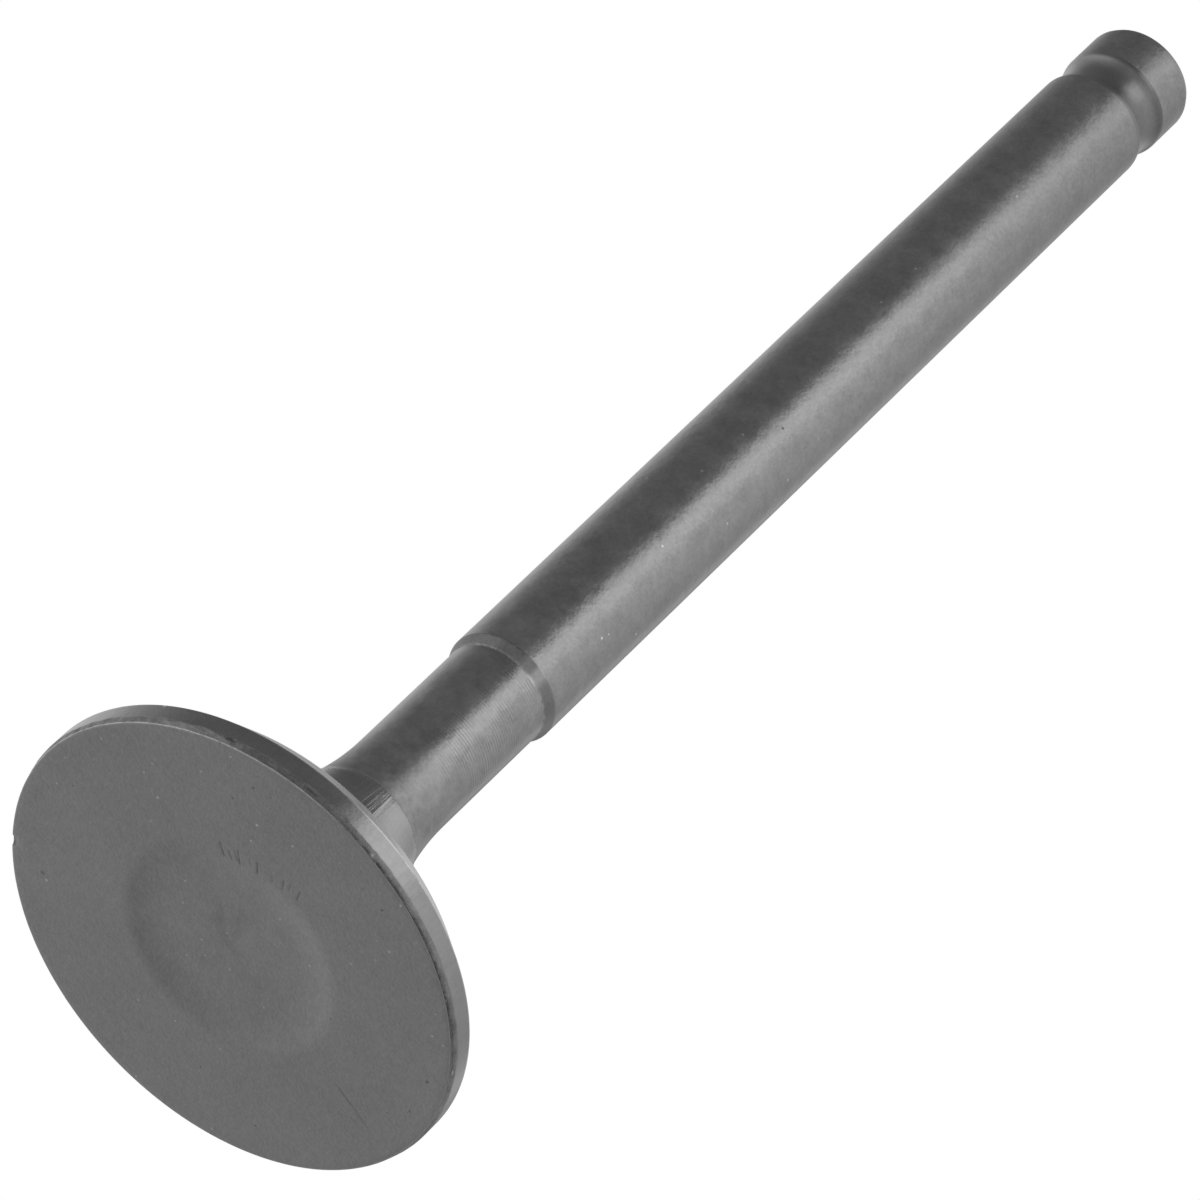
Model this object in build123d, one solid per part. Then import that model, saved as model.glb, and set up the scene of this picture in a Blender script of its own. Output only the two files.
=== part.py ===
from build123d import *
import math
import os

# An engine poppet valve, forged and then turned and ground as one piece.
# Sizes are in millimetres. +Z runs up the stem, and the origin is the centre of the head's face.

# Overall
overall_length = 109.0

# Head
head_diameter = 32.4
margin_height = 1.8  # head face to the foot of the seat
face_bevel_width = 0.12  # across the radius
face_bevel_height = 0.46  # along the axis
seat_angle = 45.0  # from the plane of the face
seat_width = 2.65  # along the cone
dish_diameter = 16.0
dish_wall_width = 3.4
dish_depth = 0.3

# Underside of the head, left as forged
underside_angle = 24.0  # from the plane of the face
tulip_radius = 12.8
tulip_top_diameter = 8.32
forging_allowance = 0.06  # forged skin that stands proud of the turned neck

# Turned neck
neck_diameter = 7.36
neck_length = 10.35
neck_blend_radius = 22.0

# Ground stem
stem_diameter = 8.0
step_angle = 22.0  # from the axis
step_round = 0.3

# Keeper groove
groove_to_tip = 5.3  # middle of the groove to the tip
groove_width = 3.4
groove_depth = 0.38
groove_edge_round = 0.4

# Tip
tip_bevel_width = 0.2  # across the radius
tip_bevel_height = 0.45  # along the axis

head_radius = head_diameter / 2
neck_radius = neck_diameter / 2
stem_radius = stem_diameter / 2

# Dish: a flat floor, then a wall of two equal arcs that meet the floor and the face without a corner.
dish_radius = dish_diameter / 2
dish_floor_radius = dish_radius - dish_wall_width
dish_wall_turn = 2 * math.degrees(math.atan2(dish_depth, dish_wall_width))
dish_wall_radius = (dish_wall_width**2 + dish_depth**2) / (4 * dish_depth)

# Seat: a cone from the margin to its inner edge.
seat_rise = seat_width * math.sin(math.radians(seat_angle))
seat_inset = seat_width * math.cos(math.radians(seat_angle))
seat_inner_radius = head_radius - seat_inset

# Neck blend: an arc that leaves the neck's side without a corner and reaches the turned tulip.
turned_radius = tulip_top_diameter / 2 - forging_allowance
blend_turn = math.acos(1 - (turned_radius - neck_radius) / neck_blend_radius)

# Tulip: an arc from the slope of the underside to the slope of the neck blend.
start_slope = math.radians(underside_angle)
end_slope = math.pi / 2 - blend_turn
tulip_inset = tulip_radius * (math.sin(end_slope) - math.sin(start_slope))
tulip_turn = math.degrees(end_slope - start_slope)
cone_inset = seat_inner_radius - tulip_top_diameter / 2 - tulip_inset
cone_length = cone_inset / math.cos(start_slope)

# Step: a cone from the neck's diameter to the stem's.
step_rise = (stem_radius - neck_radius) / math.tan(math.radians(step_angle))

# Keeper groove: a round bottom between two points on the stem's side.
groove_foot = overall_length - groove_to_tip - groove_width / 2
groove_top = groove_foot + groove_width

with BuildPart() as valve:
    with BuildSketch(Plane.XZ) as section:
        with BuildLine():
            axis_foot = (0, dish_depth)
            axis_top = (0, overall_length)

            # Face of the head, from the axis outwards
            dish_floor = Line(axis_foot, (dish_floor_radius, dish_depth))
            dish_wall_inner = JernArc(dish_floor @ 1, (1, 0), dish_wall_radius, -dish_wall_turn)
            dish_wall_outer = JernArc(
                dish_wall_inner @ 1, dish_wall_inner % 1, dish_wall_radius, dish_wall_turn
            )
            face = Line(dish_wall_outer @ 1, (head_radius - face_bevel_width, 0))
            face_bevel = Line(face @ 1, (head_radius, face_bevel_height))
            margin = Line(face_bevel @ 1, (head_radius, margin_height))
            seat = Line(margin @ 1, (seat_inner_radius, margin_height + seat_rise))

            # Underside of the head and the tulip, up to the line where the turning starts
            underside = PolarLine(seat @ 1, cone_length, 180 - underside_angle)
            tulip = JernArc(underside @ 1, underside % 1, tulip_radius, -tulip_turn)
            turning_line = Line(tulip @ 1, tulip @ 1 + (-forging_allowance, forging_allowance))

            # Neck, step and stem
            neck_blend = JernArc(
                turning_line @ 1, tulip % 1, neck_blend_radius, -math.degrees(blend_turn)
            )
            neck = Line(neck_blend @ 1, neck_blend @ 1 + (0, neck_length))
            step = Line(neck @ 1, (stem_radius, (neck @ 1).Y + step_rise))
            stem = Line(step @ 1, (stem_radius, groove_foot))

            # Keeper groove and tip
            groove = SagittaArc(stem @ 1, (stem_radius, groove_top), groove_depth)
            tip_land = Line(groove @ 1, (stem_radius, overall_length - tip_bevel_height))
            tip_bevel = Line(tip_land @ 1, (stem_radius - tip_bevel_width, overall_length))
            tip_face = Line(tip_bevel @ 1, axis_top)
            Line(axis_top, axis_foot)
        make_face()
        for corner in (step @ 0, step @ 1):
            fillet(section.vertices().sort_by_distance(corner)[0], step_round)
        for corner in (groove @ 0, groove @ 1):
            fillet(section.vertices().sort_by_distance(corner)[0], groove_edge_round)
    revolve(axis=Axis.Z)

valve.part.label = "valve"

os.makedirs("parts", exist_ok=True)
export_step(valve.part, "parts/valve.step")

box = valve.part.bounding_box()
print("size", box.size, "volume", valve.part.volume, "valid", valve.part.is_valid)
print("turning line at", (tulip @ 1).Y, "neck from", (neck @ 0).Y, "to", (neck @ 1).Y, "stem from", (stem @ 0).Y)
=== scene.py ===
# %% [markdown]
# # An engine poppet valve
# A poppet valve opens and shuts a port in the cylinder head. It starts as one forging, and then its face,
# margin, seat, neck and stem are turned and ground, so each band of the surface has a finish of its own. The
# lesson rebuilds that surface as one closed mesh, because the real valve is one piece of steel, and then
# gives each band its own worn steel.

# %% Load the frame
import math

import bmesh
import bpy
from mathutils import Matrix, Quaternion, Vector, noise


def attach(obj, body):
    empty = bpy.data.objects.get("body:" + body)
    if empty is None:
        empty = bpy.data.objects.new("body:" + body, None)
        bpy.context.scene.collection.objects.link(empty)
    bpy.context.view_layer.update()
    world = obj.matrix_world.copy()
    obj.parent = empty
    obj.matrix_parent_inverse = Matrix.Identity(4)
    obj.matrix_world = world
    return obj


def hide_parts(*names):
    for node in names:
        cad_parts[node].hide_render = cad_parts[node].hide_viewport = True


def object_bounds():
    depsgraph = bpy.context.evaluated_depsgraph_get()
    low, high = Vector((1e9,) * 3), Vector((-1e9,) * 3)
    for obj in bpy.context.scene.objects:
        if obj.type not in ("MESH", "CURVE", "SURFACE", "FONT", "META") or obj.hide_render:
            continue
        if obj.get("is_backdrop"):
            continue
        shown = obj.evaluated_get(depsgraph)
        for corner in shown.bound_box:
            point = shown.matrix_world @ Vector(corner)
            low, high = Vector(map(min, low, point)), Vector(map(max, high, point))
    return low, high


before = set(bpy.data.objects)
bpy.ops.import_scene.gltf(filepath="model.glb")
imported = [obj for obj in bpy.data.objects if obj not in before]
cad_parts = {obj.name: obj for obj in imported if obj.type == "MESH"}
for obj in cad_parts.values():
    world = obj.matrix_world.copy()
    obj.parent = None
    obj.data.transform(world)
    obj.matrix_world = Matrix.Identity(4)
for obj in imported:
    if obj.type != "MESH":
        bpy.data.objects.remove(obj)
cad_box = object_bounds()

MM = 0.001
MICRON = 0.001 * MM
AXIS = Vector((0, 0, 1))

# %% [markdown]
# ## A pen for turned profiles
# A turned part is a flat outline swept round an axis. The outline could be typed in as a list of points, but
# a small pen is easier to change: it starts as one vertex, a straight stroke extrudes it, and a curved
# stroke spins it about a centre. Both are bmesh operators, so each stroke knows its own size.


# %% The pen
class Pen:
    """Draws an outline in millimetres from the axis and above the face."""

    def __init__(self, r, z):
        self.outline = bmesh.new()
        self.tip = bmesh.ops.create_vert(self.outline, co=(r * MM, 0, z * MM))["vert"][0]

    def line(self, r, z, pieces=1):
        """A straight stroke to (r, z), cut into equal pieces."""
        start = self.tip.co.copy()
        end = Vector((r * MM, 0, z * MM))
        for piece in range(1, pieces + 1):
            made = bmesh.ops.extrude_vert_indiv(self.outline, verts=[self.tip])
            self.tip = made["verts"][0]
            self.tip.co = start.lerp(end, piece / pieces)

    def arc(self, heading, radius, turn, pieces):
        """A stroke that leaves at heading degrees from +X and turns left by turn, or right below zero."""
        side = math.radians(heading + math.copysign(90, turn))
        middle = self.tip.co + Vector((math.cos(side), 0, math.sin(side))) * radius * MM
        made = bmesh.ops.spin(
            self.outline,
            geom=[self.tip],
            cent=middle,
            axis=(0, -1, 0),
            angle=math.radians(turn),
            steps=pieces,
            use_duplicate=False,
        )
        self.tip = [v for v in made["geom_last"] if isinstance(v, bmesh.types.BMVert)][0]

    def where(self):
        """Radius and height of the tip, in millimetres."""
        return self.tip.co.x / MM, self.tip.co.z / MM


# %% [markdown]
# ## The dish
# The middle of the face is forged a little hollow, with a wall so gentle that only its shading shows it.
# This outline is the hollow's flat floor, and the next one begins where the wall does.

# %% Dish outline
DISH_RADIUS = 8.0
DISH_WALL = 3.4
DISH_DEPTH = 0.3

dish = Pen(0, DISH_DEPTH)
dish.line(DISH_RADIUS - DISH_WALL, DISH_DEPTH, 8)
dish_edge = dish.where()
print("dish floor ends at", [round(v, 3) for v in dish_edge])

# %% [markdown]
# ## The rim
# Two arcs that turn opposite ways make the dish's wall, with no corner at its top or its foot. Round the
# dish the face is flat. Its rim has a small worn bevel, then the straight margin, then the 45 degree seat
# that closes the port. Sharp corners don't exist on real steel, so each corner gets a short arc. The rows
# are close together near the dish and on the bevel, because the dents and chips of those places come later.

# %% Rim sizes
HEAD_RADIUS = 16.2
MARGIN_HEIGHT = 1.8
BEVEL_WIDTH = 0.12
BEVEL_HEIGHT = 0.46
SEAT_ANGLE = 45.0
SEAT_WIDTH = 2.65
UNDERSIDE_ANGLE = 24.0
DISH_EDGE_SHARE = 0.27

face_r = HEAD_RADIUS - BEVEL_WIDTH
bevel_lean = math.degrees(math.atan2(BEVEL_HEIGHT, BEVEL_WIDTH))
seat_r = HEAD_RADIUS - SEAT_WIDTH * math.cos(math.radians(SEAT_ANGLE))
seat_z = MARGIN_HEIGHT + SEAT_WIDTH * math.sin(math.radians(SEAT_ANGLE))
dish_turn = 2 * math.degrees(math.atan2(DISH_DEPTH, DISH_WALL))
both_arcs = (DISH_WALL**2 + DISH_DEPTH**2) / (2 * DISH_DEPTH)
print("seat ends at", round(seat_r, 2), round(seat_z, 2), "mm")

# %% Rim outline
FACE_ROUND = 0.05
SEAT_ROUND = 0.06
EDGE_GAP = 0.03
EDGE_INSET = 0.01
TICKS_END = 9.2

rim = Pen(*dish_edge)
rim.arc(0, both_arcs * (1 - DISH_EDGE_SHARE), -dish_turn, 12)
rim.arc(-dish_turn, both_arcs * DISH_EDGE_SHARE, dish_turn, 8)
rim.line(TICKS_END, 0, 10)
rim.line(face_r - FACE_ROUND, 0, 15)
rim.arc(0, FACE_ROUND, bevel_lean, 3)
rim.line(HEAD_RADIUS - EDGE_INSET, BEVEL_HEIGHT - EDGE_GAP, 7)
rim.line(HEAD_RADIUS, BEVEL_HEIGHT + EDGE_GAP, 1)
rim.line(HEAD_RADIUS, MARGIN_HEIGHT - EDGE_GAP, 8)
rim.arc(90, SEAT_ROUND, SEAT_ANGLE, 2)
rim.line(seat_r + EDGE_GAP, seat_z - EDGE_GAP, 7)
rim.arc(180 - SEAT_ANGLE, 2 * SEAT_ROUND, SEAT_ANGLE - UNDERSIDE_ANGLE, 2)
rim_top = rim.where()
print("rim outline", len(rim.outline.verts), "points, ends at", [round(v, 3) for v in rim_top])

# %% [markdown]
# ## The underside
# Above the seat the head is as it was forged: a cone that runs into the tulip's arc. The arc ends where the
# turning of the neck begins, at a ledge as thin as the skin that the tool took off.

# %% Underside outline
TULIP_RADIUS = 12.8
TULIP_TOP_RADIUS = 4.25
FORGING_ALLOWANCE = 0.06
NECK_RADIUS = 3.68
NECK_BLEND_RADIUS = 21.0
BRIDGE = 0.04

turned_radius = TULIP_TOP_RADIUS - FORGING_ALLOWANCE
blend_turn = math.degrees(math.acos(1 - (turned_radius - NECK_RADIUS) / NECK_BLEND_RADIUS))
start_slope = math.radians(UNDERSIDE_ANGLE)
end_slope = math.radians(90 - blend_turn)
tulip_inset = TULIP_RADIUS * (math.sin(end_slope) - math.sin(start_slope))
cone_length = (seat_r - TULIP_TOP_RADIUS - tulip_inset) / math.cos(start_slope)
cone_r = seat_r - cone_length * math.cos(start_slope)
cone_z = seat_z + cone_length * math.sin(start_slope)
underside = Pen(rim_top[0] - BRIDGE, rim_top[1] + BRIDGE * math.tan(start_slope))
underside.line(cone_r, cone_z, 5)
tulip_turn = math.degrees(end_slope - start_slope)
underside.arc(180 - UNDERSIDE_ANGLE, TULIP_RADIUS, -tulip_turn, 26)
ledge_foot = underside.where()
print("cone", round(cone_length, 3), "mm, ledge at", [round(v, 3) for v in ledge_foot])

# %% [markdown]
# ## The neck, stem, groove and tip
# The neck is turned smaller than the stem, and the tool leaves a fine thread of marks on it. A helix could
# be cut along it, but rings a quarter of a millimetre apart look the same and keep the mesh in neat rows.
# Each ring is a shallow valley with its own depth, as a tool that chatters leaves. The stem is ground
# smooth.

# %% Neck outline
NECK_LENGTH = 10.35
STEM_RADIUS = 4.0
STEP_ANGLE = 22.0
STEP_ROUND = 0.3

stem = Pen(turned_radius, ledge_foot[1] + FORGING_ALLOWANCE)
stem.arc(90 + blend_turn, NECK_BLEND_RADIUS, -blend_turn, 14)
neck_foot = stem.where()[1]
neck_top = neck_foot + NECK_LENGTH
step_lean = math.radians(STEP_ANGLE)
step_end = neck_top + (STEM_RADIUS - NECK_RADIUS) / math.tan(step_lean)
step_bite = STEP_ROUND * math.tan(step_lean / 2)
turned_length = NECK_LENGTH - step_bite
print("neck from", round(neck_foot, 2), "to", round(neck_top, 2), "mm")

# %% Turning marks
MARK_PITCH = 0.24
MARK_DEPTH = 0.010
MARK_STRENGTH = 0.6
MARK_FADE_IN = 8
MARK_FADE_OUT = 12
ROWS_A_MARK = 3
CHATTER_START = Vector((3.1, 0.7, 0))
CHATTER_STEP = 1.7

marks = round(turned_length / MARK_PITCH)
plain = set(stem.outline.verts)
stem.line(NECK_RADIUS, neck_foot + turned_length, marks * ROWS_A_MARK)
for v in set(stem.outline.verts) - plain:
    along = (v.co.z / MM - neck_foot) / turned_length
    phase = along * marks
    chatter = noise.noise(CHATTER_START + AXIS * round(phase) * CHATTER_STEP)
    fade = min(1, along * MARK_FADE_IN, (1 - along) * MARK_FADE_OUT)
    valley = 0.5 - 0.5 * math.cos(2 * math.pi * phase)
    v.co.x -= MARK_DEPTH * MARK_STRENGTH * (1 + chatter) * fade * valley * MM
print("turned", marks, "marks")

# %% Stem outline
OVERALL_LENGTH = 109.0
GROOVE_TO_TIP = 5.3
GROOVE_WIDTH = 3.4
GROOVE_DEPTH = 0.33
GROOVE_EDGE_ROUND = 1.1

stem.arc(90, STEP_ROUND, -STEP_ANGLE, 3)
step_top_r = STEM_RADIUS - step_bite * math.sin(step_lean)
stem.line(step_top_r, step_end - step_bite * math.cos(step_lean), 4)
stem.arc(90 - STEP_ANGLE, STEP_ROUND, STEP_ANGLE, 3)
groove_mid = OVERALL_LENGTH - GROOVE_TO_TIP
groove_start = groove_mid - GROOVE_WIDTH / 2
groove_lean = 2 * math.degrees(math.atan2(GROOVE_DEPTH, GROOVE_WIDTH / 2))
floor_arc = GROOVE_WIDTH / 2 / math.sin(math.radians(groove_lean)) - GROOVE_EDGE_ROUND
stem.line(STEM_RADIUS, groove_start, 30)
stem.arc(90, GROOVE_EDGE_ROUND, groove_lean, 6)
stem.arc(90 + groove_lean, floor_arc, -2 * groove_lean, 20)
stem.arc(90 - groove_lean, GROOVE_EDGE_ROUND, groove_lean, 6)
groove_end = stem.where()
print("groove from", round(groove_start, 2), "to", [round(v, 3) for v in groove_end])

# %% Tip outline
TIP_BEVEL_WIDTH = 0.2
TIP_BEVEL_HEIGHT = 0.45
EDGE_LONG = 0.06
EDGE_SHORT = 0.04
LOWER_EDGE_IN = 0.015
UPPER_EDGE_IN = 0.02

tip_r = STEM_RADIUS - TIP_BEVEL_WIDTH
tip_z = OVERALL_LENGTH - TIP_BEVEL_HEIGHT
stem.line(STEM_RADIUS, tip_z - EDGE_LONG, 5)
stem.line(STEM_RADIUS - LOWER_EDGE_IN, tip_z + EDGE_SHORT, 1)
stem.line(tip_r + UPPER_EDGE_IN, OVERALL_LENGTH - EDGE_LONG, 3)
stem.line(tip_r - EDGE_SHORT, OVERALL_LENGTH, 1)
stem.line(0, OVERALL_LENGTH, 6)
print("stem outline", len(stem.outline.verts), "points")

# %% [markdown]
# ## Sweep and join
# Each outline is spun once round the axis. The rim carries the chips, so it gets several times as many
# segments as its neighbours. The dish and the underside stop just short of it, and the open loops are
# bridged: bridging copes with loops of unequal count, and it falls on gentle ground, where it can't be seen.

# %% Spin the outlines
PLAIN_SEGMENTS = 144
DISH_SEGMENTS = 240
RIM_SEGMENTS = 720


def to_mesh(bm, name):
    """Turn a bmesh into a named mesh and free it."""
    mesh = bpy.data.meshes.new(name)
    bm.to_mesh(mesh)
    bm.free()
    return mesh


def sweep(outline, segments):
    """Spin an outline a full turn, close its pole, and give it back as a mesh."""
    bmesh.ops.spin(
        outline,
        geom=outline.verts[:] + outline.edges[:],
        cent=(0, 0, 0),
        axis=AXIS,
        angle=2 * math.pi,
        steps=segments,
        use_merge=True,
        use_duplicate=False,
    )
    bmesh.ops.remove_doubles(outline, verts=outline.verts, dist=MICRON)
    return to_mesh(outline, "sweep")


steel_bm = bmesh.new()
shorter = 1 - BRIDGE / dish_edge[0]
bmesh.ops.scale(dish.outline, vec=(shorter, 1, 1), verts=dish.outline.verts)
turns = ((dish, DISH_SEGMENTS), (rim, RIM_SEGMENTS), (underside, PLAIN_SEGMENTS), (stem, PLAIN_SEGMENTS))
for pen, segments in turns:
    swept = sweep(pen.outline, segments)
    steel_bm.from_mesh(swept)
    bpy.data.meshes.remove(swept)

# %% Bridge the loops
LOOP_REACH = 0.15


def loops_near(radius, z):
    """The open edges that lie near a radius and a height, in millimetres."""
    found = []
    for e in steel_bm.edges:
        if e.is_boundary:
            middle = (e.verts[0].co + e.verts[1].co) / 2
            r = math.hypot(middle.x, middle.y) / MM
            if abs(r - radius) < LOOP_REACH and abs(middle.z / MM - z) < LOOP_REACH:
                found.append(e)
    return found


for radius, z in (dish_edge, rim_top, ledge_foot):
    bmesh.ops.bridge_loops(steel_bm, edges=loops_near(radius, z))
bmesh.ops.recalc_face_normals(steel_bm, faces=steel_bm.faces)
left_open = sum(1 for e in steel_bm.edges if not e.is_manifold)
print("joined", len(steel_bm.faces), "faces, open edges left", left_open)

# %% [markdown]
# ## The worn rim
# The bevel isn't a clean cut. Carbon and handling have eaten its top edge into a ragged line and hammered
# its face, and a few chips go deeper. Bump alone would leave the outline perfect, so the vertices move: rows
# near the bevel wander up and down by a noise that is read round the rim. The left side is the more battered
# one, and the right side, as far as the back, is calmer.


# %% Places on the part
def place(radius, angle, z=0.0):
    """A point at a radius, an angle from the front and a height, in metres."""
    turn = math.radians(angle)
    return Vector((radius * math.sin(turn), -radius * math.cos(turn), z)) * MM


def polar(v):
    """Radius and height in millimetres, and degrees from the front (-Y) towards +X."""
    r = math.hypot(v.co.x, v.co.y) / MM
    return r, v.co.z / MM, math.degrees(math.atan2(v.co.x, -v.co.y))


def push_in(v, angle, depth):
    """Move a vertex at an angle towards the axis, by a depth in millimetres."""
    turn = math.radians(angle)
    v.co.x -= math.sin(turn) * depth * MM
    v.co.y += math.cos(turn) * depth * MM


def rim_noise(angle, size, layer):
    """Noise with patches of a size in millimetres, read on the rim at an angle."""
    turn = math.radians(angle)
    spot = Vector((math.sin(turn), math.cos(turn), 0)) * HEAD_RADIUS / size
    return noise.noise(spot + AXIS * layer)


# %% Ragged bevel
RAGGED_TOP = 1.15
RAGGED_REACH = 0.25
WANDER = 0.13
BROAD_WAVE = 1.6
FINE_WAVE = 0.55
HAMMER = 0.022
BROAD_DENT = 0.7
FINE_DENT = 0.3
FULL_HAMMER_Z = 0.08
CALM_SHARE = 0.35
CALM_ANGLE = 12
CALM_SPREAD = 25

for v in steel_bm.verts:
    r, z, angle = polar(v)
    if r < HEAD_RADIUS - RAGGED_REACH or z > RAGGED_TOP:
        continue
    up = min(1, z / BEVEL_HEIGHT, (RAGGED_TOP - z) / (RAGGED_TOP - BEVEL_HEIGHT))
    shift = rim_noise(angle, BROAD_WAVE, layer=2.3) + 0.8 * rim_noise(angle, FINE_WAVE, layer=7.1)
    calm = CALM_SHARE + (1 - CALM_SHARE) * min(1, max(0, (CALM_ANGLE - angle) / CALM_SPREAD))
    v.co.z += WANDER * max(0, up) * shift * calm * MM
    if z < BEVEL_HEIGHT - EDGE_GAP:
        dents = rim_noise(angle, BROAD_DENT, layer=11.9) + 0.7 * rim_noise(angle, FINE_DENT, layer=z * 9)
        push_in(v, angle, HAMMER * max(0, 0.3 + dents) * min(1, z / FULL_HAMMER_Z))
print("bevel edge wanders up to", WANDER, "mm")

# %% [markdown]
# ## Chips, dents and scratches
# Real damage has a place. Each chip is an angle round the rim, a height, a width and a depth, and the
# vertices near it sink along their own normals with a soft falloff. The same loop writes how hard each
# vertex was hit to an attribute, so that the steel's colour can follow the damage later.

# %% Damage tool
scar_layer = steel_bm.verts.layers.float.new("scar")
SHORTEST = 1e-12


def sink(start, end, width, depth, tone):
    """Press a soft groove from start to end. Tone above 0 is bared metal, below 0 is dirt."""
    line = end - start
    hit = 0
    for v in steel_bm.verts:
        away = v.co - start
        if away.length > line.length + width * MM:
            continue
        share = min(1, max(0, away.dot(line) / max(line.length_squared, SHORTEST)))
        gap = (away - line * share).length / (width * MM)
        if gap < 1:
            fall = (1 - gap * gap) ** 2
            v.co -= v.normal * depth * fall * MM
            v[scar_layer] += tone * fall
            hit += 1
    return hit


# %% Rim chips
# angle, height, half length along the rim in degrees, width, depth, tone
RIM_CHIPS = (
    (-120, 0.1, 0.6, 0.34, 0.24, -0.7),
    (-124, 0.3, 0.4, 0.14, 0.05, 0.7),
    (-33, 0.42, 1.2, 0.12, 0.03, -0.5),
    (-24, 0.06, 0.5, 0.13, 0.04, 1.0),
    (-12, 0.34, 1.4, 0.13, 0.04, -0.5),
    (-6, 0.1, 0.5, 0.12, 0.03, 0.8),
    (12, 0.08, 0.7, 0.11, 0.04, -0.4),
    (19, 0.06, 0.5, 0.1, 0.03, -0.3),
    (31, 0.12, 0.6, 0.11, 0.04, -0.4),
    (36, 0.15, 0.5, 0.11, 0.03, -0.4),
    (53, 0.75, 0.2, 0.1, 0.02, 0.6),
    (59, 1.55, 0.2, 0.1, 0.02, 0.6),
    (64, 0.25, 0.4, 0.15, 0.04, 1.0),
    (89, 0.05, 0.7, 0.12, 0.03, 0.6),
    (104, 0.05, 0.4, 0.12, 0.03, 0.6),
    (-61, 1.2, 0.2, 0.1, 0.02, 0.8),
    (152, 0.2, 0.8, 0.2, 0.06, -0.7),
    (-168, 0.3, 0.6, 0.16, 0.05, -0.6),
)
steel_bm.normal_update()
hits = 0
for angle, z, half, width, depth, tone in RIM_CHIPS:
    start = place(HEAD_RADIUS, angle - half, z)
    end = place(HEAD_RADIUS, angle + half, z)
    hits += sink(start, end, width, depth, tone)
print("chips moved", hits, "vertices")

# %% Dents at the dish
# angle, inner radius, outer radius, width
DISH_TICKS = (
    (-36, 7.3, 8.3, 0.1),
    (-31.5, 7.2, 7.9, 0.08),
    (-28.5, 7.4, 8.1, 0.08),
    (-27, 7.2, 8.3, 0.11),
    (-21, 7.7, 8.2, 0.07),
    (-17, 7.4, 8.2, 0.12),
    (-9, 7.6, 8.2, 0.08),
    (-3.5, 7.8, 8.5, 0.1),
    (-1, 8.2, 8.7, 0.08),
    (4, 8.1, 8.9, 0.11),
)
TICK_LEAN = 0.8
TICK_HEIGHT = 0.03
TICK_DEPTH = 0.02
TICK_TONE = -0.7
for angle, inner, outer, width in DISH_TICKS:
    start = place(inner, angle + TICK_LEAN, TICK_HEIGHT)
    end = place(outer, angle - TICK_LEAN, TICK_HEIGHT)
    sink(start, end, width, TICK_DEPTH, TICK_TONE)
print("ticks pressed", len(DISH_TICKS))

# %% A scratch
SCRATCH_WIDTH = 0.12
SCRATCH_DEPTH = 0.016
SCRATCH_TONE = -0.48
scratch_start = place(10.6, 98.6)
scratch_end = place(13.7, 99.4)
hits = sink(scratch_start, scratch_end, SCRATCH_WIDTH, SCRATCH_DEPTH, SCRATCH_TONE)
print("the scratch moved", hits, "vertices")

# %% [markdown]
# ## Drag marks under the head
# When the neck is turned, the tool drags short radial streaks on the last of the forged arc. They are flutes
# about two hundredths of a millimetre deep, so they are noise that changes round the axis and hardly along
# it. They are strong on one patch at the front and faint elsewhere.

# %% Flutes
FLUTE_DEPTH = 0.022
FLUTE_SLIDE = 0.02
BROAD_FLUTES = 9
FINE_FLUTES = 21
PATCH_ANGLE = -5
PATCH_SPREAD = 10
PATCH_FLOOR = 0.08
CONE_FADE = 3
LEDGE_FADE = 0.6
LEDGE_GAP = 0.01

ledge_z = ledge_foot[1]
for v in steel_bm.verts:
    _, z, angle = polar(v)
    if not cone_z < z < ledge_z - LEDGE_GAP:
        continue
    turn = math.radians(angle)
    spot = Vector((math.sin(turn), math.cos(turn), z * FLUTE_SLIDE))
    flute = noise.noise(spot * BROAD_FLUTES) + 0.7 * noise.noise(spot * FINE_FLUTES)
    patch = PATCH_FLOOR + (1 - PATCH_FLOOR) * math.exp(-(((angle - PATCH_ANGLE) / PATCH_SPREAD) ** 2))
    fade = min(1, (z - cone_z) / CONE_FADE, (ledge_z - z) / LEDGE_FADE)
    push_in(v, angle, FLUTE_DEPTH * (0.5 + 0.5 * flute) * patch * fade)
print("flutes from", round(cone_z, 1), "to", round(ledge_z, 1), "mm")

# %% [markdown]
# ## One piece, many finishes
# The mesh stays one piece, and each face takes a material slot by the band that it lies in. On the head the
# bands meet at worn edges, so each has a test of its own. Along the shaft, a list of bands and the heights
# where they end is enough.

# %% Bands
HEAD_BANDS = ("blasted_face", "worn_bevel", "ground_margin", "ground_seat", "forged_underside")
SHAFT_BANDS = ("turned_neck", "turned_step", "ground_stem", "rolled_groove")
ALL_BANDS = HEAD_BANDS + SHAFT_BANDS
SHAFT_ENDS = (
    ("turned_neck", neck_top - step_bite),
    ("turned_step", step_end + step_bite),
    ("ground_stem", groove_start),
    ("rolled_groove", groove_end[1]),
)
FLAT_NORMAL = 0.8
FACE_LIMIT = 1.0
BEVEL_LIMIT = 0.8
SEAT_NORMAL = -0.06


def band_of(face):
    """The name of the band that a face's middle lies in."""
    middle = face.calc_center_median()
    r = math.hypot(middle.x, middle.y) / MM
    z = middle.z / MM
    if abs(face.normal.z) > FLAT_NORMAL and z < FACE_LIMIT:
        return "blasted_face"
    if r > HEAD_RADIUS - EDGE_INSET and z < MARGIN_HEIGHT and face.normal.z > SEAT_NORMAL:
        return "ground_margin"
    if z < BEVEL_LIMIT:
        return "worn_bevel"
    if z < rim_top[1]:
        return "ground_seat"
    if z < ledge_z + FORGING_ALLOWANCE / 2:
        return "forged_underside"
    for name, end in SHAFT_ENDS:
        if z < end:
            return name
    return "ground_stem"


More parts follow.
